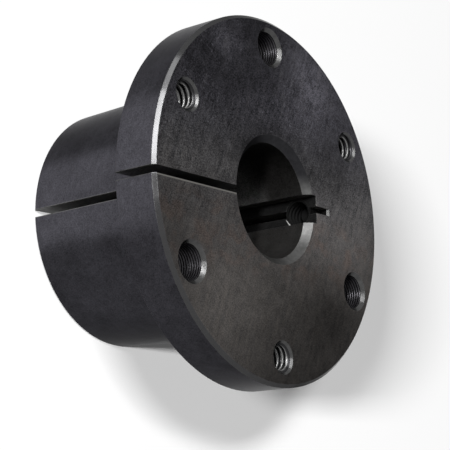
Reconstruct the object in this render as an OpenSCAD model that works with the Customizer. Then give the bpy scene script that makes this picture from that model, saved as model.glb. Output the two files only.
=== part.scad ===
/* [Flange] */
// Outside diameter of the flange
flange_d = 80.96; // [78:0.01:92]
// Thickness of the flange
flange_t = 10.3; // [9:0.1:14]
// Width of the chamfer round the front of the rim
rim_chamfer = 0.75; // [0.2:0.05:1.2]
// Width of the broken edge round the back of the rim
back_edge = 0.3; // [0.1:0.05:0.6]

/* [Tapered barrel] */
// Length of the bushing from the front face to the end of the barrel
overall_l = 46; // [34:0.5:60]
// Distance that the flange stands out past the barrel, all round
flange_overhang = 12.08; // [11.4:0.01:14]
// Diameter lost for each millimetre of length towards the small end
taper = 0.0625; // [0.02:0.0025:0.1]
// Width of the broken edge at the small end
barrel_edge = 0.5; // [0.1:0.05:1]
// Radius of the fillet where the barrel meets the flange
root_fillet = 0.8; // [0.3:0.1:1]

/* [Bore and keyway] */
// Diameter of the bore, which is the shaft size
bore_d = 25.4; // [16:0.1:28]
// Width of the chamfer at the front end of the bore
bore_chamfer = 1.55; // [0.3:0.05:2]
// Width of the chamfer at the barrel end of the bore
end_chamfer = 0.8; // [0.3:0.05:1.5]
// Width of the keyway, which is the key size and its clearance
key_w = 6.4; // [4:0.05:8]
// Depth of the keyway from the crown of the bore to its floor
keyway_depth = 2.7; // [1.5:0.1:3.5]

/* [Saw cuts] */
// Width of the split that runs from the bore out through the rim
split_w = 1.65; // [1:0.05:3]
// Width of the relief cut in the floor of the keyway
relief_w = 1.6; // [1:0.05:3]
// Depth of the relief cut below the floor of the keyway
relief_depth = 4.8; // [2:0.1:6]
// Width of the broken edge where the end of the relief cut meets the front face
relief_break = 0.5; // [0.2:0.05:1]

/* [Screw holes] */
// Place of the screw holes' circle across the overhang, from 0 at the barrel to 1 at the rim
hole_circle_share = 0.4743; // [0.43:0.0001:0.52]
// Number of drilled holes, and of tapped holes between them
hole_pairs = 3; // [2:1:4]
// Diameter of the drilled holes, which clear the cap screws
drilled_d = 7.5; // [6.8:0.1:8]
// Width of the chamfer at the front of each drilled hole
drilled_chamfer = 0.75; // [0.2:0.05:1]
// Thread size of the tapped holes for the jack screws
jack_thread_d = 6.35; // [4:0.05:8]
// Width of the countersink at both ends of each tapped hole
tapped_chamfer = 0.45; // [0.2:0.05:0.8]

/* [Set screw] */
// Thread size of the set screw over the keyway
set_thread_d = 6.35; // [4:0.05:8]
// Gap all round between the set screw and its hole
thread_clearance = 0.1; // [0.05:0.01:0.3]
// Distance that the point of the screw is backed off from the keyway
point_setback = 3.95; // [0.2:0.05:6]
// Distance from the rim down to the socket end of the screw
socket_sunk = 5.25; // [1:0.05:12]
// Size across the flats of the hexagon socket
socket_flats = 3.2; // [1.5:0.1:3.5]
// Depth of the hexagon socket
socket_depth = 3.6; // [2:0.1:5]
// Diameter of the ring edge round the cup in the point
cup_d = 3.3; // [2:0.1:3.5]
// Depth of the cup in the point
cup_depth = 0.95; // [0.4:0.05:1.4]
// Width of the chamfer at the socket end of the screw
screw_chamfer = 0.4; // [0.2:0.05:0.8]
// Width of the countersink where the set screw hole meets the rim
set_hole_chamfer = 0.45; // [0.2:0.05:0.8]

/* [Hidden] */
$fn = 128;

// Distance that a cutter runs past the faces that it cuts
overrun = 1;
// Depth that the fillet is sunk into the taper, so that the two surfaces cross cleanly
fillet_sink = 0.002;
flange_r = flange_d / 2;
barrel_r = flange_r - flange_overhang;
bore_r = bore_d / 2;
// Height of the back face of the flange, where the barrel starts
root_z = overall_l - flange_t;
// Radius lost for each millimetre of length, and the slant length that goes with it
slope = taper / 2;
slant = sqrt(1 + slope * slope);
keyway_floor = bore_r + keyway_depth;
relief_floor = keyway_floor + relief_depth;
hole_step = 180 / hole_pairs;
hole_circle_r = barrel_r + flange_overhang * hole_circle_share;
set_hole_r = set_thread_d / 2;
// The set screw lies halfway through the thickness of the flange
set_hole_z = root_z + flange_t / 2;
screw_r = set_hole_r - thread_clearance;
screw_point = keyway_floor + point_setback;
screw_l = flange_r - socket_sunk - screw_point;
steel = [0.2, 0.2, 0.21];
dark_steel = [0.12, 0.12, 0.13];

// Radius of the tapered barrel at a height above its small end
function barrel_radius(z) = barrel_r - slope * (root_z - z);

// Half of the section through the turned blank, before any hole is made
module blank_section() {
    polygon([
        [0, 0],
        [barrel_radius(0) - barrel_edge, 0],
        [barrel_radius(barrel_edge), barrel_edge],
        [barrel_r, root_z],
        [flange_r - back_edge, root_z],
        [flange_r, root_z + back_edge],
        [flange_r, overall_l - rim_chamfer],
        [flange_r - rim_chamfer, overall_l],
        [0, overall_l]
    ]);
}

// Section of the fillet between the taper and the back of the flange
module fillet_section() {
    centre_r = barrel_r + root_fillet * (slant - slope) - fillet_sink;
    centre_z = root_z - root_fillet;
    touch_r = centre_r - root_fillet / slant;
    touch_z = centre_z + root_fillet * slope / slant;
    difference() {
        polygon([
            [touch_r - overrun, touch_z],
            [touch_r, touch_z],
            [centre_r, root_z],
            [centre_r, root_z + overrun],
            [touch_r - overrun, root_z + overrun]
        ]);
        translate([centre_r, centre_z])
            circle(r = root_fillet);
    }
}

// Turned blank: the flange on top of the tapered barrel
module blank() {
    rotate_extrude() blank_section();
    rotate_extrude() fillet_section();
}

// Bore with a chamfer at each end
module bore_cut() {
    translate([0, 0, -overrun])
        cylinder(r = bore_r, h = overall_l + 2 * overrun);
    mouth_cut(bore_r, bore_chamfer, overall_l);
    mirror([0, 0, 1])
        mouth_cut(bore_r, end_chamfer, 0);
}

// Chamfer of 45 degrees at the mouth of a hole whose face is at the height z
module mouth_cut(hole_r, width, z) {
    translate([0, 0, z - width])
        cylinder(r1 = hole_r, r2 = hole_r + width + overrun, h = width + overrun);
}

// Straight slot of the bore's full length, from the axis out to a radius
module slot_cut(width, reach) {
    translate([0, -width / 2, -overrun])
        cube([reach, width, overall_l + 2 * overrun]);
}

// Broken edge of 45 degrees at the front of the relief cut's end
module relief_end_cut() {
    translate([relief_floor, relief_w / 2, overall_l - relief_break])
        rotate([90, 0, 0])
            linear_extrude(relief_w)
                polygon([
                    [-overrun, 0],
                    [0, 0],
                    [relief_break + overrun, relief_break + overrun],
                    [-overrun, relief_break + overrun]
                ]);
}

// Hole through the flange, on the circle that all the screw holes share
module flange_hole_cut(angle, hole_r, front_chamfer, back_chamfer) {
    rotate([0, 0, angle])
        translate([hole_circle_r, 0, 0]) {
            translate([0, 0, root_z - overrun])
                cylinder(r = hole_r, h = flange_t + 2 * overrun);
            mouth_cut(hole_r, front_chamfer, overall_l);
            if (back_chamfer > 0)
                mirror([0, 0, 1])
                    mouth_cut(hole_r, back_chamfer, -root_z);
        }
}

// Drilled and tapped holes in turn, with the split midway between two of them
module screw_hole_cuts() {
    for (i = [0 : hole_pairs - 1]) {
        drilled_angle = 180 + (2 * i + 0.5) * hole_step;
        flange_hole_cut(drilled_angle, drilled_d / 2, drilled_chamfer, 0);
        flange_hole_cut(drilled_angle + hole_step, jack_thread_d / 2, tapped_chamfer, tapped_chamfer);
    }
}

// Radial hole from the rim to the floor of the keyway
module set_screw_hole_cut() {
    translate([0, 0, set_hole_z])
        rotate([0, 90, 0]) {
            translate([0, 0, keyway_floor])
                cylinder(r = set_hole_r, h = flange_r - keyway_floor + overrun);
            mouth_cut(set_hole_r, set_hole_chamfer, flange_r);
        }
}

// The whole bushing is one piece of steel
module bushing() {
    color(steel)
        difference() {
            blank();
            bore_cut();
            slot_cut(key_w, keyway_floor);
            slot_cut(relief_w, relief_floor);
            relief_end_cut();
            rotate([0, 0, 180])
                slot_cut(split_w, flange_r + overrun);
            screw_hole_cuts();
            set_screw_hole_cut();
        }
}

// Headless set screw with a hexagon socket and a cup point, along +Z from its point
module screw_along_z() {
    point_r = cup_d / 2;
    difference() {
        rotate_extrude()
            polygon([
                [0, 0],
                [point_r, 0],
                [screw_r, screw_r - point_r],
                [screw_r, screw_l - screw_chamfer],
                [screw_r - screw_chamfer, screw_l],
                [0, screw_l]
            ]);
        translate([0, 0, -overrun])
            cylinder(r1 = point_r * (1 + overrun / cup_depth), r2 = 0, h = cup_depth + overrun);
        translate([0, 0, screw_l - socket_depth])
            cylinder(d = socket_flats / cos(30), h = socket_depth + overrun, $fn = 6);
    }
}

// Set screw that holds the key down, backed off so that its point clears the keyway
module set_screw() {
    color(dark_steel)
        translate([screw_point, 0, set_hole_z])
            rotate([0, 90, 0])
                screw_along_z();
}

bushing();
set_screw();
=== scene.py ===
import functools
import math
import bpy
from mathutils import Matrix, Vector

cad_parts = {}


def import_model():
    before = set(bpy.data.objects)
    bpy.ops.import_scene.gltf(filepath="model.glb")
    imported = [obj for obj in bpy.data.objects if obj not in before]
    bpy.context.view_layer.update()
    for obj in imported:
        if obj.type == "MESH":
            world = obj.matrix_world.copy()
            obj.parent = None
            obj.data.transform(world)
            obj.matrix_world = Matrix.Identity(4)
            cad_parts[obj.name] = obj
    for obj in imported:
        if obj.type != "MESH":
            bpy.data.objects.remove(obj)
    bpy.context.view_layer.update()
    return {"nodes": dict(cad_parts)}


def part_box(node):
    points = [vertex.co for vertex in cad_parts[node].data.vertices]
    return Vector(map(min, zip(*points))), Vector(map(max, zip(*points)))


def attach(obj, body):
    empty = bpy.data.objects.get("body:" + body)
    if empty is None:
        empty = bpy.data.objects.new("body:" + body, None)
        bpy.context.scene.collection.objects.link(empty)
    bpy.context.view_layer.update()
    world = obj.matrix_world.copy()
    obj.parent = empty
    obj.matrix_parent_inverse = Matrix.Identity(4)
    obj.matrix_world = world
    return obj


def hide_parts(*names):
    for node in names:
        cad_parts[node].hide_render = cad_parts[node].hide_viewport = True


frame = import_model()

from types import SimpleNamespace

import bmesh
import bpy
from mathutils import Matrix, Quaternion, Vector

MM = 0.001
MM_PER_M = 1000.0

# Sizes of the bushing in millimetres, as the solids have them
BUSHING_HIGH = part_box("bushing")[1]
FRONT = BUSHING_HIGH.z / MM
FLANGE_R = BUSHING_HIGH.y / MM
FLANGE_T = 10.3
BACK = FRONT - FLANGE_T
HOLE_CIRCLE_R = 34.13
HOLES_FROM_R, HOLES_TO_R = 29.7, 38.8  # the ring of the face that all the screw holes lie in
TAPPED_ANGLES = (30, 150, 270)
COUNTERSINK = 0.45
KEYWAY_FLOOR = 15.4
KEYWAY_HALF_W = 3.2
RELIEF_FLOOR = 20.2
SPLIT_HALF_W = 0.825

# Sizes of the set screw in millimetres, as the solids have them; it lies along +X
SCREW_LOW, SCREW_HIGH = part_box("set_screw")
SCREW_POINT = SCREW_LOW.x / MM
SCREW_END = SCREW_HIGH.x / MM
SCREW_R = (SCREW_HIGH.y - SCREW_LOW.y) / 2 / MM
SCREW_Z = (SCREW_LOW.z + SCREW_HIGH.z) / 2 / MM
SCREW_CHAMFER = 0.4
POINT_R = 1.65
CUP_DEPTH = 0.95
SOCKET_CORNER_R = 1.6 / math.cos(math.radians(30))
SOCKET_DEPTH = 3.6

# Finer forms of the set screw, which the solid doesn't have
SOCKET_CONE = 0.7  # depth of the drill's cone below the socket
SOCKET_BREAK = 0.10  # depth of the broken edge round the socket's mouth
SOCKET_BREAK_W = 0.12
POINT_BREAK = 0.04  # depth of the broken edge inside the ring of the cup
POINT_BREAK_W = 0.06
END_BREAK = 0.05

# The 1/4-20 thread in millimetres. The solids have plain bores and a plain screw in its place
THREAD_R = 3.175  # radius of the plain bores, where the thread of a hole has its root
CREST_R = 2.55  # radius of the crest of a hole's thread
PITCH = 1.27
FLANK_SLOPE = math.tan(math.radians(30))
HALF_BASE = PITCH * 7 / 16
FIRST_START, START_STEP = 0.7, 1.3  # radians; each tapped hole's thread starts further round
SINK = 0.02  # how deep a ridge's base is sunk into the wall that carries it
END_GAP = 0.02  # how far the set screw hole's thread stays clear of the keyway's floor
ROOT_GAP = 0.08  # how far the screw's root is clear of the hole's crest
FLANK_GAP = 0.03  # how far the two threads' flanks are clear of each other
LEAST_AREA = 0.004  # square millimetres; a ridge ends where its section is smaller
STEPS_PER_TURN = 72
RIDGE_CORNERS = 14
SCREW_FACETS = 72
SMOOTH_BELOW = 35  # degrees between faces that are shaded as one surface

# Colours of the steel, from black oxide to bare metal
OXIDE = (0.0418, 0.0410, 0.0430)
COOL_OXIDE = (0.0408, 0.0398, 0.0466)
WARM_OXIDE = (0.0470, 0.0431, 0.0400)
BROWN_OXIDE = (0.0545, 0.0425, 0.0375)
# Painted light deep in the bore, and painted shade at its front end
PAINTED_LIGHT_DEEP_IN_BORE = (0.300, 0.298, 0.295)
PAINTED_SHADE_BORE_FRONT = (0.029, 0.028, 0.027)
# Painted shade on the keyway's bottom
PAINTED_SHADE_KEYWAY_BOTTOM = (0.016, 0.016, 0.016)
KEYWAY_WALL = (0.140, 0.136, 0.130)
SPLIT_WALL = (0.030, 0.030, 0.030)
HOLE_WALL = (0.060, 0.058, 0.063)
HOLE_CHAMFER = (0.058, 0.058, 0.058)
RIM_CHAMFER = (0.043, 0.043, 0.044)
BORE_CHAMFER = (0.074, 0.074, 0.073)
# Painted shade on the upper part of the bore's chamfer
PAINTED_SHADE_BORE_CHAMFER = (0.020, 0.020, 0.022)
WORN_EDGE = (0.090, 0.090, 0.088)
# Painted highlight along the lower edge of the split
PAINTED_HIGHLIGHT_SPLIT_EDGE = (0.125, 0.122, 0.115)
# Painted glint by the set screw hole
PAINTED_GLINT = (0.42, 0.42, 0.41)

# Patches on the face, partly stains and partly painted reflection that makes the face lighter
# towards the right: x, y and reach in millimetres, and how much lighter or darker
STAINS_AND_PAINTED_REFLECTION = (
    (22, 1, 20, 2.22),
    (22, 7, 13, -1.60),
    (-28, -8, 21, 1.01),
    (-28, -12, 15, -0.89),
    (-21, -22, 15, 0.77),
    (16, 31, 9, 0.71),
    (20, -18, 11, -0.65),
    (-16, 32, 4, 0.35),
    (-24, 24, 9, -0.12),
    (18, 24, 6, 0.15),
)
DRILL_FEED = 0.62  # millimetres between the rings that the drill leaves in a plain hole

# Light, in metres. Angles are in degrees, and radiance in watts per square metre and steradian
LAMPS_ON_PART = (
    # name, azimuth, elevation, width, height, radiance, roll
    ("key", 135.4, 42.5, 1.76, 0.17, 31.0, 16.4),
    ("upper", 132.0, 50.6, 2.70, 0.18, 9.5, 22.0),
    ("key_low_end", 102.8, 29.1, 0.88, 0.19, 6.5, 36.0),
    ("key_high_end", 179.5, 43.1, 1.12, 0.19, 6.5, -14.4),
    ("side", 158.0, 9.0, 0.45, 0.40, 24.0, 0.0),
    ("front", 168.0, 28.0, 0.60, 0.20, 205.0, 0.0),
)
LAMPS_ON_FLOOR = (
    ("floor_low", 182.0, 25.0, 0.40, 0.87, 290.0, 0.0),
    ("floor_high", 167.0, 47.0, 0.44, 0.96, 130.0, 30.0),
)
PART_LAMP_DISTANCE = 2.5
FLOOR_LAMP_DISTANCE = 5.0
LAMPS_AIM_AT = Vector((0.0, 0.0, 0.03))
WHITE = (1.0, 1.0, 1.0)
FLOOR_WHITE = (0.92, 0.92, 0.92)
WORLD_FILL = 0.06  # strength of the world's light on surfaces, where it is seen at 1
FLOOR_GLOW = 0.06  # share of plain white in the floor as it is seen
FLOOR_REACH = 4.0
FLOOR_Z = -0.00005  # just under the barrel's end, so that the two faces don't coincide

# Camera at the photo's viewing angle, fitted to the circles of the flange, barrel and bore.
# Its place is in metres, its sensor and lens in millimetres, and its shift in image widths
CAMERA_AT = Vector((-0.242586, -0.065232, 0.216055))
CAMERA_RIGHT = Vector((0.60970, -0.03493, 0.79186))
CAMERA_UP = Vector((-0.13626, 0.97954, 0.14813))
CAMERA_BACK = Vector((-0.78083, -0.19821, 0.59247))
SENSOR_W = 36.0
LENS = 112.70
HALF_PIXEL = 0.5 / 450  # the photo is 450 pixels wide
CLIP_START, CLIP_END = 0.01, 20.0


# Shader nodes

def rgba(colour):
    """A plain colour with its alpha. A socket is passed on as it is."""
    return (*colour, 1.0) if isinstance(colour, tuple) else colour


class Shader:
    """Short calls that build a material's or world's nodes from numbers, colours and sockets."""

    def __init__(self, owner):
        owner.use_nodes = True
        self.tree = owner.node_tree
        self.tree.nodes.clear()

    def node(self, kind, **settings):
        made = self.tree.nodes.new(kind)
        for key, value in settings.items():
            setattr(made, key, value)
        return made

    def put(self, socket, value):
        if isinstance(value, bpy.types.NodeSocket):
            self.tree.links.new(value, socket)
        elif value is not None:
            socket.default_value = value

    def fill(self, made, *values):
        """Puts the values into a node's first sockets."""
        for socket, value in zip(made.inputs, values):
            self.put(socket, value)
        return made

    # Numbers
    def math(self, operation, a, b=None, c=None, clamp=False):
        made = self.node("ShaderNodeMath", operation=operation, use_clamp=clamp)
        return self.fill(made, a, b, c).outputs[0]

    def times(self, *values):
        return functools.reduce(lambda a, b: self.math("MULTIPLY", a, b), values)

    def largest(self, *values):
        return functools.reduce(lambda a, b: self.math("MAXIMUM", a, b), values)

    def weighted(self, base, *terms):
        """The base and the sum of each value times its weight."""
        total = base
        for value, weight in terms:
            total = self.math("MULTIPLY_ADD", value, weight, total)
        return total

    def inverted(self, share):
        return self.math("SUBTRACT", 1.0, share)

    def between(self, share, a, b):
        """The number a where the share is 0, and b where it is 1."""
        return self.math("MULTIPLY_ADD", b, share, self.times(a, self.inverted(share)))

    def length(self, a, b):
        return self.math("SQRT", self.math("MULTIPLY_ADD", a, a, self.times(b, b)))

    def step(self, value, low, high, to_low, to_high):
        """A smooth step from to_low, where the value is low, to to_high, where it is high."""
        made = self.node("ShaderNodeMapRange", interpolation_type="SMOOTHSTEP")
        return self.fill(made, value, low, high, to_low, to_high).outputs[0]

    def rise(self, value, low, high):
        return self.step(value, low, high, 0.0, 1.0)

    def fall(self, value, low, high):
        return self.step(value, low, high, 1.0, 0.0)

    def within(self, value, low, high, soft):
        """1 from low to high and 0 outside them, with soft edges."""
        return self.times(
            self.rise(value, low - soft, low + soft), self.fall(value, high - soft, high + soft))

    # Vectors
    def vector(self, x, y, z):
        return self.fill(self.node("ShaderNodeCombineXYZ"), x, y, z).outputs[0]

    def parts(self, vector):
        return self.fill(self.node("ShaderNodeSeparateXYZ"), vector).outputs

    def dot(self, a, b):
        made = self.node("ShaderNodeVectorMath", operation="DOT_PRODUCT")
        return self.fill(made, a, b).outputs["Value"]

    def blend(self, share, a, b):
        """The vector a where the share is 0, and b where it is 1."""
        made = self.node("ShaderNodeMix", data_type="VECTOR", clamp_factor=True)
        self.put(made.inputs[0], share)
        self.put(made.inputs[4], a)
        self.put(made.inputs[5], b)
        return made.outputs[1]

    def place(self):
        """The place on the object, in millimetres."""
        made = self.node("ShaderNodeVectorMath", operation="SCALE")
        self.put(made.inputs[0], self.node("ShaderNodeTexCoord").outputs["Object"])
        self.put(made.inputs["Scale"], MM_PER_M)
        return made.outputs[0]

    def rounded(self, radius, samples):
        """The normal as if every edge were rounded to a radius in millimetres."""
        made = self.node("ShaderNodeBevel", samples=samples)
        self.put(made.inputs["Radius"], radius * MM)
        return made.outputs[0]

    def bump(self, height, normal):
        """The normal with bumps whose height is in millimetres."""
        made = self.node("ShaderNodeBump")
        self.put(made.inputs["Strength"], 1.0)
        self.put(made.inputs["Distance"], MM)
        self.put(made.inputs["Height"], height)
        self.put(made.inputs["Normal"], normal)
        return made.outputs[0]

    # Patterns and colours
    def noise(self, vector, scale, detail, rough=0.6, distortion=0.0):
        made = self.node("ShaderNodeTexNoise", noise_dimensions="3D")
        self.put(made.inputs["Vector"], vector)
        self.put(made.inputs["Scale"], scale)
        self.put(made.inputs["Detail"], detail)
        self.put(made.inputs["Roughness"], rough)
        self.put(made.inputs["Distortion"], distortion)
        return made.outputs[0]

    def mix(self, share, a, b):
        """The colour a where the share is 0, and b where it is 1."""
        made = self.node("ShaderNodeMix", data_type="RGBA", clamp_factor=True)
        self.put(made.inputs[0], share)
        self.put(made.inputs[6], rgba(a))
        self.put(made.inputs[7], rgba(b))
        return made.outputs[2]

    def shade(self, colour, factor):
        """The colour times a number."""
        made = self.node(
            "ShaderNodeMix", data_type="RGBA", blend_type="MULTIPLY", clamp_factor=True)
        self.put(made.inputs[0], 1.0)
        self.put(made.inputs[6], rgba(colour))
        grey = self.fill(self.node("ShaderNodeCombineColor"), factor, factor, factor)
        self.put(made.inputs[7], grey.outputs[0])
        return made.outputs[2]

    # Surfaces
    def seen(self):
        """1 for what the camera, a reflection or glass shows, and 0 for light on a surface."""
        path = self.node("ShaderNodeLightPath")
        return self.largest(
            path.outputs["Is Camera Ray"],
            path.outputs["Is Glossy Ray"],
            path.outputs["Is Transmission Ray"])

    def steel(self, colour, metallic, roughness, normal, edge):
        """The surface of oxide-coated steel. The edge is its tint at a glancing angle."""
        shader = self.node("ShaderNodeBsdfPrincipled")
        self.put(shader.inputs["Specular IOR Level"], 0.1)
        self.put(shader.inputs["Specular Tint"], (edge, edge, edge, 1.0))
        self.put(shader.inputs["Base Color"], colour)
        self.put(shader.inputs["Metallic"], metallic)
        self.put(shader.inputs["Roughness"], roughness)
        self.put(shader.inputs["Normal"], normal)
        self.output("ShaderNodeOutputMaterial", shader)

    def output(self, kind, shader):
        self.put(self.node(kind).inputs["Surface"], shader.outputs[0])


# Steel of the bushing

def bushing_point(s):
    """Where a point of the bushing is, in millimetres, and how its surface is turned."""
    place = s.place()
    x, y, z = s.parts(place)
    geometry = s.node("ShaderNodeNewGeometry")
    flat = s.parts(geometry.outputs["True Normal"])
    return SimpleNamespace(
        place=place, x=x, y=y, z=z,
        radius=s.length(x, y), angle=s.math("ARCTAN2", y, x),
        normal=geometry.outputs["Normal"], sideways=s.math("ABSOLUTE", flat[1]), up=flat[2])


def bushing_regions(s, at):
    """Shares of 0 to 1 that tell the surfaces apart by their place and the way they face."""
    # at.up is 1 on the flat face, 0.71 on a chamfer and 0 on a side
    face = s.rise(at.up, 0.93, 0.98)
    chamfer = s.times(s.rise(at.up, 0.55, 0.66), s.fall(at.up, 0.76, 0.90))
    side = s.within(at.up, -0.15, 0.15, 0.05)
    off_middle = s.math("ABSOLUTE", at.y)
    inner = s.times(side, s.fall(at.radius, RELIEF_FLOOR + 0.4, RELIEF_FLOOR + 0.6))
    hole = s.times(
        side, s.within(at.radius, HOLES_FROM_R, HOLES_TO_R, 0.2), s.rise(at.z, BACK - 0.05, BACK))
    # The split starts at the bore's wall on one side, and the keyway on the other
    split = s.times(
        side, s.fall(off_middle, SPLIT_HALF_W + 0.075, SPLIT_HALF_W + 0.175),
        s.fall(at.x, -12.0, -11.0))
    keyway = s.times(
        s.fall(off_middle, KEYWAY_HALF_W + 0.05, KEYWAY_HALF_W + 0.15), s.rise(at.x, 8.0, 9.0))
    return SimpleNamespace(
        face=face, chamfer=chamfer, side=side, hole=hole, split=split, keyway=keyway,
        hidden=s.largest(inner, hole, split),
        rim=s.rise(at.radius, 39.0, 39.4),
        bore_mouth=s.fall(at.radius, 20.0, 21.0))


def bushing_marks(s, at, on):
    """The patterns on the steel. Lathe marks go by radius on flat faces, and by height on sides."""
    across = s.between(on.side, at.radius, at.z)
    turned = s.vector(s.times(across, 2.6), s.times(at.angle, 1.4), 0.0)
    fine_turned = s.vector(s.times(across, 9.0), s.times(at.angle, 2.0), 3.0)
    slanting = s.vector(
        s.weighted(0.0, (at.x, 0.08), (at.y, 0.15)),
        s.weighted(0.0, (at.x, -0.80), (at.y, 0.40)), at.z)
    return SimpleNamespace(
        turned=s.noise(turned, scale=1.0, detail=3.0),
        fine_turned=s.noise(fine_turned, scale=1.0, detail=2.0),
        streaks=s.noise(slanting, scale=1.0, detail=4.0, distortion=0.6),
        clouds=s.noise(at.place, scale=0.085, detail=3.0, rough=0.55, distortion=0.4),
        ragged=s.noise(at.place, scale=0.12, detail=4.0),
        blots=s.noise(at.place, scale=0.22, detail=4.0, distortion=0.6),
        smudges=s.noise(at.place, scale=0.32, detail=5.0, distortion=1.1),
        patches=s.noise(at.place, scale=0.9, detail=4.0),
        powder=s.noise(at.place, scale=1.6, detail=5.0, rough=0.75, distortion=0.6),
        grain=s.noise(at.place, scale=3.2, detail=3.0),
        specks=s.noise(at.place, scale=6.5, detail=2.0))


def oxide_tone(s, at, on, marks):
    """How much lighter or darker the oxide is from place to place."""
    # Broad patches on the flange's face, each soft with a ragged edge: partly stains of the oxide
    # bath, partly painted reflection that makes the face lighter towards the right
    ragged = s.weighted(-7.0, (marks.ragged, 14.0))
    stains_and_reflection = 0.52
    for x, y, reach, amount in STAINS_AND_PAINTED_REFLECTION:
        away = s.length(s.math("SUBTRACT", at.x, x), s.math("SUBTRACT", at.y, y))
        away = s.math("DIVIDE", s.math("ADD", away, ragged), reach)
        patch = s.math("EXPONENT", s.times(away, away, -1.0))
        stains_and_reflection = s.weighted(stains_and_reflection, (patch, amount))
    # Painted highlight: the sides are lighter in a band by the split
    band = s.math("COSINE", s.math("SUBTRACT", at.angle, math.radians(176)))
    band = s.rise(band, math.cos(math.radians(24)), math.cos(math.radians(14)))
    plain = s.weighted(0.36, (marks.clouds, 0.57), (band, 0.50))
    broad = s.between(on.face, plain, stains_and_reflection)

    fine = s.weighted(
        -3.80, (marks.smudges, 1.1), (marks.streaks, 1.0), (marks.turned, 0.3),
        (marks.grain, 2.6), (marks.specks, 2.6))
    # The fine marks are stronger towards the upper side of the face
    strength = s.between(on.face, 0.45, s.weighted(0.60, (s.rise(at.y, -14.0, 6.0), 0.65)))
    tone = s.math("MULTIPLY_ADD", fine, strength, 1.0)
    # The face is darker round the upper edge of the bore
    darker_round_bore = s.fall(s.weighted(at.radius, (ragged, 0.5)), 14.8, 19.0)
    darker_round_bore = s.times(darker_round_bore, s.rise(at.y, 1.0, 9.0))
    tone = s.times(tone, s.weighted(1.0, (darker_round_bore, -0.30)), broad)
    tone = s.largest(0.1, s.weighted(-0.25, (tone, 1.25)))
    # Pale dust on the upper side of the face
    dust = s.times(
        s.rise(marks.powder, 0.55, 0.70), s.rise(marks.clouds, 0.40, 0.58),
        s.rise(at.y, -4.0, 4.0), s.step(at.x, -2.0, 14.0, 1.0, 0.35), on.face)
    return s.weighted(tone, (dust, 1.2))


def oxide_colour(s, at, on, marks):
    """Colour of the oxide outside: bluer above, warmer below, with a band of brown stains."""
    cool = s.largest(s.inverted(on.face), s.rise(at.y, 4.0, 22.0))
    warm = s.weighted(-0.45, (s.fall(at.y, -24.0, 16.0), 0.8))
    warm = s.math("MULTIPLY_ADD", marks.streaks, 0.9, warm, clamp=True)
    brown = s.fall(s.math("ABSOLUTE", s.math("ADD", at.y, 10.0)), 3.0, 10.0)
    brown = s.times(brown, s.rise(marks.blots, 0.46, 0.62), on.face, 0.6)
    colour = s.mix(cool, OXIDE, COOL_OXIDE)
    colour = s.mix(s.times(warm, on.face), colour, WARM_OXIDE)
    return s.mix(brown, colour, BROWN_OXIDE)


def inside_colour(s, at, on):
    """Colour of the bore, the keyway and the split."""
    # Painted light and shade: the bore is lighter deep inside and darker towards the front, and
    # more so above the keyway
    depth = s.weighted(at.z, (s.fall(at.y, -2.0, 2.0), 5.0))
    colour = s.mix(s.rise(depth, 28.0, 36.5), PAINTED_LIGHT_DEEP_IN_BORE, PAINTED_SHADE_BORE_FRONT)
    # The keyway's bottom is darkened with painted shade
    keyway = s.mix(s.rise(at.sideways, 0.6, 0.8), PAINTED_SHADE_KEYWAY_BOTTOM, KEYWAY_WALL)
    colour = s.mix(on.keyway, colour, keyway)
    return s.mix(on.split, colour, SPLIT_WALL)


def chamfer_colour(s, at, on, marks):
    """Colour of the chamfers, where the coat is thinner. The upper part of the bore's chamfer is
    darkened with painted shade.
    """
    colour = s.mix(on.rim, HOLE_CHAMFER, RIM_CHAMFER)
    colour = s.mix(on.bore_mouth, colour, BORE_CHAMFER)
    # Painted shade on the upper part of the bore's chamfer
    colour = s.mix(s.times(on.bore_mouth, s.rise(at.y, 3.5, 8.0)), colour, PAINTED_SHADE_BORE_CHAMFER)
    patchy = s.weighted(-0.8, (marks.patches, 0.8), (marks.smudges, 0.8))
    strength = s.weighted(1.0, (on.rim, -0.8))
    return s.shade(colour, s.math("MULTIPLY_ADD", patchy, strength, 1.0))


def painted_highlight_split_edge_area(s, at, on):
    """A painted highlight: a lighter line along the lower edge of the split on the face."""
    return s.times(
        s.rise(at.y, -1.22, -1.08), s.fall(at.y, -0.84, -0.80), on.face,
        s.fall(at.x, -13.5, -13.0))


def painted_glint_area(s, at, on):
    """A painted glint on the set screw hole's lower edge, in the floor of the keyway."""
    above = s.math("SUBTRACT", at.z, SCREW_Z)
    towards = s.weighted(0.0, (at.y, -0.66), (above, -0.75))
    return s.times(
        s.rise(towards, THREAD_R - 0.095, THREAD_R + 0.025),
        s.fall(s.length(at.y, above), THREAD_R + 0.175, THREAD_R + 0.325),
        on.keyway, s.rise(at.x, KEYWAY_FLOOR - 0.2, KEYWAY_FLOOR - 0.1))


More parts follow.
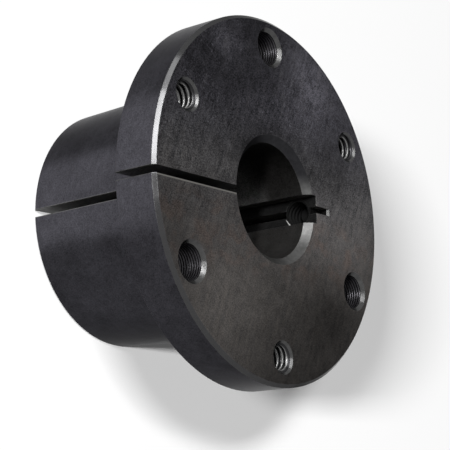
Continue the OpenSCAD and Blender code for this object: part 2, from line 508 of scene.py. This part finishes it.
def bushing_steel():
    """Black oxide over turned steel. Faces, chamfers, holes and sides differ in marks and gloss."""
    made = bpy.data.materials.new("black_oxide_steel")
    s = Shader(made)
    at = bushing_point(s)
    on = bushing_regions(s, at)
    marks = bushing_marks(s, at, on)
    feed = s.math("SINE", s.times(at.z, 2 * math.pi / DRILL_FEED))

    colour = s.mix(on.hidden, oxide_colour(s, at, on, marks), inside_colour(s, at, on))
    colour = s.mix(on.hole, colour, s.shade(HOLE_WALL, s.weighted(1.0, (feed, 0.9))))
    colour = s.shade(colour, oxide_tone(s, at, on, marks))
    colour = s.mix(on.chamfer, colour, chamfer_colour(s, at, on, marks))
    # The coat wears off the edges, where the rounded normal turns away from the surface's own
    rounded = s.rounded(0.20, samples=6)
    worn = s.fall(s.dot(rounded, at.normal), 0.93, 0.999)
    worn = s.times(worn, s.rise(marks.smudges, 0.35, 0.6), 0.30)
    colour = s.mix(worn, colour, s.shade(WORN_EDGE, s.weighted(0.6, (marks.patches, 0.8))))
    # Painted highlight along the split's lower edge
    colour = s.mix(painted_highlight_split_edge_area(s, at, on), colour, PAINTED_HIGHLIGHT_SPLIT_EDGE)
    # Painted glint on the set screw hole's lower edge
    colour = s.mix(painted_glint_area(s, at, on), colour, PAINTED_GLINT)

    oxide_roughness = s.weighted(0.24, (marks.smudges, 0.12), (marks.grain, 0.06))
    chamfer_roughness = s.weighted(0.18, (on.bore_mouth, 0.12), (on.rim, -0.05))
    roughness = s.between(on.chamfer, oxide_roughness, chamfer_roughness)
    # The height in millimetres has the feed rings of the drill in the plain holes
    height = s.weighted(
        0.0, (s.times(feed, on.hole), 0.050), (marks.turned, 0.006), (marks.fine_turned, 0.003),
        (marks.grain, 0.004), (marks.smudges, 0.010))
    height = s.times(height, s.weighted(1.0, (on.chamfer, -0.88)))
    normal = s.bump(height, s.blend(s.times(on.chamfer, 0.85), rounded, at.normal))
    # The bore, the keyway and the split are duller than the rest
    metallic = s.weighted(0.8, (s.math("SUBTRACT", on.hidden, on.hole), -0.5))
    s.steel(colour, metallic, roughness, normal, edge=0.45)
    return made


def thread_steel(name, coat, rubbed, gloss, edge):
    """Steel of a thread: its crests are rubbed lighter than its roots."""
    made = bpy.data.materials.new(name)
    s = Shader(made)
    place = s.place()
    grain = s.noise(place, scale=4.0, detail=3.0)
    spots = s.noise(place, scale=1.1, detail=4.0, distortion=0.6)
    crest = s.node("ShaderNodeAttribute", attribute_name="crest", attribute_type="GEOMETRY")
    dark = s.shade(coat, s.weighted(0.6, (spots, 0.8)))
    light = s.shade(rubbed, s.weighted(0.6, (grain, 0.8)))
    share = s.times(s.rise(crest.outputs["Fac"], 0.55, 1.0), s.step(spots, 0.25, 0.6, 0.5, 1.0))
    roughness = s.weighted(gloss, (spots, 0.16))
    height = s.weighted(0.0, (grain, 0.004), (spots, 0.010))
    normal = s.bump(height, s.rounded(0.06, samples=4))
    s.steel(s.mix(share, dark, light), 0.8, roughness, normal, edge)
    return made


# Threads. A section lies in the plane of (along, radius), and a limit (a, b, c) keeps the part
# of it where a * along + b * radius >= c. Outward is 1 at the high end of a thread and -1 at
# its low end.

def stop(at, outward):
    """The limit that ends a thread square at a place along it."""
    return (-outward, 0.0, -outward * at)


def countersink(face, outward):
    """The limit that keeps a hole's thread outside the countersink in a face."""
    return (-outward, 1.0, THREAD_R + COUNTERSINK - outward * face)


def tapered(face, outward, end_r):
    """The limit that keeps a screw's thread inside a chamfer down to end_r at its end face."""
    return (-outward, -1.0, -end_r - outward * face)


def clip(points, a, b, c):
    """The part of a convex outline that a limit keeps."""
    kept = []
    for i, p in enumerate(points):
        q = points[(i + 1) % len(points)]
        dp, dq = a * p[0] + b * p[1] - c, a * q[0] + b * q[1] - c
        if dp >= 0:
            kept.append(p)
        if (dp > 0 > dq) or (dp < 0 < dq):
            f = dp / (dp - dq)
            kept.append((p[0] + (q[0] - p[0]) * f, p[1] + (q[1] - p[1]) * f))
    return kept


def resample(points, count):
    """The outline as that many points at even steps, from its first point on."""
    steps = [math.dist(p, points[(i + 1) % len(points)]) for i, p in enumerate(points)]
    total = sum(steps)
    made, i, run = [], 0, 0.0
    for k in range(count):
        at = total * k / count
        while run + steps[i] < at:
            run += steps[i]
            i += 1
        p, q = points[i], points[(i + 1) % len(points)]
        f = (at - run) / steps[i] if steps[i] else 0.0
        made.append((p[0] + (q[0] - p[0]) * f, p[1] + (q[1] - p[1]) * f))
    return made


def area(points):
    following = points[1:] + points[:1]
    return abs(sum(p[0] * q[1] - q[0] * p[1] for p, q in zip(points, following))) / 2


def ridge_section(middle, base_r, tip_r, half_base, half_tip, limits):
    """The section of a ridge where its middle is at a place along the thread."""
    outline = [
        (middle - half_base, base_r),
        (middle - half_tip, tip_r),
        (middle + half_tip, tip_r),
        (middle + half_base, base_r),
    ]
    for limit in limits:
        if outline:
            outline = clip(outline, *limit)
    return outline


def helix(base_r, tip_r, half_base, half_tip, low, high, limits, phase):
    """A right-handed helical ridge along +Z from base_r to tip_r, cut by the limits.

    It gives vertices in millimetres, faces, and how near each vertex is to the crest."""
    first = math.floor(low / PITCH) - 1
    last = math.ceil(high / PITCH) + 1
    vertices, crest, rings = [], [], 0
    for k in range((last - first) * STEPS_PER_TURN + 1):
        turn = first + k / STEPS_PER_TURN
        outline = ridge_section(turn * PITCH, base_r, tip_r, half_base, half_tip, limits)
        if len(outline) < 3 or area(outline) < LEAST_AREA:
            if rings:
                break
            continue
        rings += 1
        a = 2 * math.pi * turn + phase
        for along, r in resample(outline, RIDGE_CORNERS):
            vertices.append((r * math.cos(a), r * math.sin(a), along))
            crest.append(1.0 - abs(r - tip_r) / abs(base_r - tip_r))
    corners = range(RIDGE_CORNERS)
    faces = []
    for start in range(0, (rings - 1) * RIDGE_CORNERS, RIDGE_CORNERS):
        above = start + RIDGE_CORNERS
        for j in corners:
            n = (j + 1) % RIDGE_CORNERS
            faces.append((start + j, start + n, above + n, above + j))
    faces.append(tuple(corners))
    faces.append(tuple((rings - 1) * RIDGE_CORNERS + j for j in reversed(corners)))
    return vertices, faces, crest


def thread_object(name, vertices, faces, crest, place, material):
    """A piece from vertices in millimetres, set in its place."""
    mesh = bpy.data.meshes.new(name)
    mesh.from_pydata([place @ (Vector(v) * MM) for v in vertices], [], faces)
    mesh.attributes.new("crest", "FLOAT", "POINT").data.foreach_set("value", crest)
    mesh.validate()
    mesh.update()
    work = bmesh.new()
    work.from_mesh(mesh)
    bmesh.ops.recalc_face_normals(work, faces=work.faces)
    work.to_mesh(mesh)
    work.free()
    mesh.materials.append(material)
    mesh.polygons.foreach_set("use_smooth", [True] * len(mesh.polygons))
    mesh.set_sharp_from_angle(angle=math.radians(SMOOTH_BELOW))
    made = bpy.data.objects.new(name, mesh)
    bpy.context.scene.collection.objects.link(made)
    return made


def hole_thread(name, low, high, limits, phase, place, material):
    """Thread of a tapped hole: one ridge that stands in from the wall of the hole."""
    half_tip = HALF_BASE - (THREAD_R - CREST_R) * FLANK_SLOPE
    vertices, faces, crest = helix(
        THREAD_R + SINK, CREST_R, HALF_BASE, half_tip, low, high, limits, phase)
    made = thread_object(name, vertices, faces, crest, place, material)
    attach(made, "root")


def tapped_holes(material):
    """The threads of the three holes for the jack screws, through the whole flange."""
    limits = [
        countersink(FRONT, 1),
        countersink(BACK, -1),
        stop(FRONT - COUNTERSINK, 1),
        stop(BACK + COUNTERSINK, -1),
    ]
    for i, degrees in enumerate(TAPPED_ANGLES):
        a = math.radians(degrees)
        reach = HOLE_CIRCLE_R * MM
        place = Matrix.Translation((reach * math.cos(a), reach * math.sin(a), 0))
        phase = FIRST_START + START_STEP * i
        hole_thread(f"jack_thread_{i + 1}", BACK, FRONT, limits, phase, place, material)


def screw_body(root_r):
    """The set screw without its thread, along +Z, with its cup point and hexagon socket."""
    outline = [
        # along, radius, whether the radius is that of a hexagon's corners
        (SCREW_POINT + CUP_DEPTH, 0.0, False),
        (SCREW_POINT + POINT_BREAK, POINT_R - POINT_BREAK_W, False),
        (SCREW_POINT, POINT_R, False),
        (SCREW_POINT + root_r - POINT_R, root_r, False),
        (SCREW_END - END_BREAK, root_r, False),
        (SCREW_END, root_r - END_BREAK, False),
        (SCREW_END, SOCKET_CORNER_R + SOCKET_BREAK_W, False),
        (SCREW_END - SOCKET_BREAK, SOCKET_CORNER_R, True),
        (SCREW_END - SOCKET_DEPTH, SOCKET_CORNER_R, True),
        (SCREW_END - SOCKET_DEPTH - SOCKET_CONE, 0.0, True),
    ]
    vertices, faces, rows = [], [], []
    for along, r, hexagon in outline:
        if r == 0.0:
            rows.append([len(vertices)] * SCREW_FACETS)
            vertices.append((0.0, 0.0, along))
            continue
        rows.append(range(len(vertices), len(vertices) + SCREW_FACETS))
        for j in range(SCREW_FACETS):
            a = 2 * math.pi * j / SCREW_FACETS
            reach = r
            if hexagon:
                off_flat = a % (math.pi / 3) - math.pi / 6
                reach = r * math.cos(math.pi / 6) / math.cos(off_flat)
            vertices.append((reach * math.cos(a), reach * math.sin(a), along))
    for below, above in zip(rows, rows[1:]):
        for j in range(SCREW_FACETS):
            n = (j + 1) % SCREW_FACETS
            # A row that is one point on the axis gives a triangle
            faces.append(tuple(dict.fromkeys((below[j], below[n], above[n], above[j]))))
    return vertices, faces


def set_screw(material):
    """The set screw and the thread of the hole that it turns in, which share one helix."""
    place = Matrix.Translation((0, 0, SCREW_Z * MM)) @ Matrix.Rotation(math.pi / 2, 4, "Y")
    limits = [
        countersink(FLANGE_R, 1),
        stop(FLANGE_R - COUNTERSINK, 1),
        stop(KEYWAY_FLOOR + END_GAP, -1),
    ]
    hole_thread(
        "set_screw_hole_thread", KEYWAY_FLOOR, FLANGE_R, limits, 0.0, place, material)

    # The screw's ridge lies half a turn on, in the middle of the hole's groove
    root_r = CREST_R - ROOT_GAP
    half_base = HALF_BASE - FLANK_GAP
    half_tip = half_base - (SCREW_R - root_r) * FLANK_SLOPE
    limits = [
        tapered(SCREW_POINT, -1, POINT_R),
        tapered(SCREW_END, 1, SCREW_R - SCREW_CHAMFER),
        stop(SCREW_POINT + root_r - POINT_R, -1),
        stop(SCREW_END - END_BREAK, 1),
    ]
    ridge, ridge_faces, ridge_crest = helix(
        root_r - SINK, SCREW_R, half_base, half_tip, SCREW_POINT, SCREW_END, limits, math.pi)
    body, body_faces = screw_body(root_r)
    start = len(body)
    faces = body_faces + [tuple(start + v for v in face) for face in ridge_faces]
    crest = [0.0] * start + ridge_crest
    made = thread_object("threaded_set_screw", body + ridge, faces, crest, place, material)
    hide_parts("set_screw")
    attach(made, "root")


# Floor, light and camera

def floor():
    material = bpy.data.materials.new("floor")
    s = Shader(material)
    plain = s.node("ShaderNodeBsdfDiffuse")
    s.put(plain.inputs["Color"], rgba(FLOOR_WHITE))
    glow = s.node("ShaderNodeEmission")
    s.put(glow.inputs["Color"], rgba(WHITE))
    s.put(glow.inputs["Strength"], 1.0)
    shown = s.node("ShaderNodeMixShader")
    s.fill(shown, s.times(s.seen(), FLOOR_GLOW), plain.outputs[0], glow.outputs[0])
    s.output("ShaderNodeOutputMaterial", shown)
    mesh = bpy.data.meshes.new("floor")
    signs = ((-1, -1), (1, -1), (1, 1), (-1, 1))
    corners = [(x * FLOOR_REACH, y * FLOOR_REACH, 0) for x, y in signs]
    mesh.from_pydata(corners, [], [(0, 1, 2, 3)])
    mesh.materials.append(material)
    made = bpy.data.objects.new("floor", mesh)
    made.location.z = FLOOR_Z
    bpy.context.scene.collection.objects.link(made)
    return made


def world():
    made = bpy.data.worlds.new("studio")
    bpy.context.scene.world = made
    s = Shader(made)
    back = s.node("ShaderNodeBackground")
    s.put(back.inputs["Color"], rgba(WHITE))
    s.put(back.inputs["Strength"], s.weighted(WORLD_FILL, (s.seen(), 1.0 - WORLD_FILL)))
    s.output("ShaderNodeOutputWorld", back)


def receivers(name, ground, state):
    """A light linking set: INCLUDE lights the ground alone, EXCLUDE lights all but the ground."""
    made = bpy.data.collections.new(name)
    made.objects.link(ground)
    made.collection_objects[0].light_linking.link_state = state
    return made


def softbox(name, azimuth, elevation, width, height, radiance, roll, distance, lit):
    """An area lamp that faces the object, with that radiance and that light linking set."""
    lamp = bpy.data.lights.new(name, "AREA")
    lamp.shape = "RECTANGLE"
    lamp.size, lamp.size_y = width, height
    lamp.energy = radiance * math.pi * width * height
    made = bpy.data.objects.new(name, lamp)
    turn, rise = math.radians(azimuth), math.radians(elevation)
    level = math.cos(rise)
    away = Vector((math.cos(turn) * level, math.sin(turn) * level, math.sin(rise)))
    made.location = LAMPS_AIM_AT + away * distance
    made.rotation_mode = "QUATERNION"
    rolled = Quaternion((0, 0, 1), math.radians(roll))
    made.rotation_quaternion = away.to_track_quat("Z", "Y") @ rolled
    made.light_linking.receiver_collection = lit
    bpy.context.scene.collection.objects.link(made)


def camera():
    made = bpy.data.cameras.new("camera")
    made.sensor_width = SENSOR_W
    made.lens = LENS
    made.shift_x, made.shift_y = -HALF_PIXEL, HALF_PIXEL
    made.clip_start, made.clip_end = CLIP_START, CLIP_END
    holder = bpy.data.objects.new("camera", made)
    turn = Matrix((CAMERA_RIGHT, CAMERA_UP, CAMERA_BACK)).transposed().to_4x4()
    holder.matrix_world = Matrix.Translation(CAMERA_AT) @ turn
    bpy.context.scene.collection.objects.link(holder)
    bpy.context.scene.camera = holder


# The scene

camera()
tapped_metal = thread_steel(
    "thread_steel", coat=(0.022, 0.022, 0.023), rubbed=(0.20, 0.20, 0.197), gloss=0.24, edge=0.45)
# The set screw and its hole's thread are far darker than the oxide elsewhere: painted shade of the
# hole
screw_metal_painted_shade = thread_steel(
    "screw_steel_painted_shade", coat=(0.010, 0.010, 0.010), rubbed=(0.014, 0.014, 0.014), gloss=0.70, edge=0.2)
bushing = frame["nodes"]["bushing"]
bushing.data.materials.clear()
bushing.data.materials.append(bushing_steel())
tapped_holes(tapped_metal)
set_screw(screw_metal_painted_shade)
ground = floor()
world()
# The lamps on the part leave the floor alone, so that the floor's own lamps place the shadow
on_part = receivers("lights_the_part", ground, "EXCLUDE")
on_floor = receivers("lights_the_floor", ground, "INCLUDE")
for lamp in LAMPS_ON_PART:
    softbox(*lamp, PART_LAMP_DISTANCE, on_part)
for lamp in LAMPS_ON_FLOOR:
    softbox(*lamp, FLOOR_LAMP_DISTANCE, on_floor)
bpy.context.scene.view_settings.view_transform = "Standard"
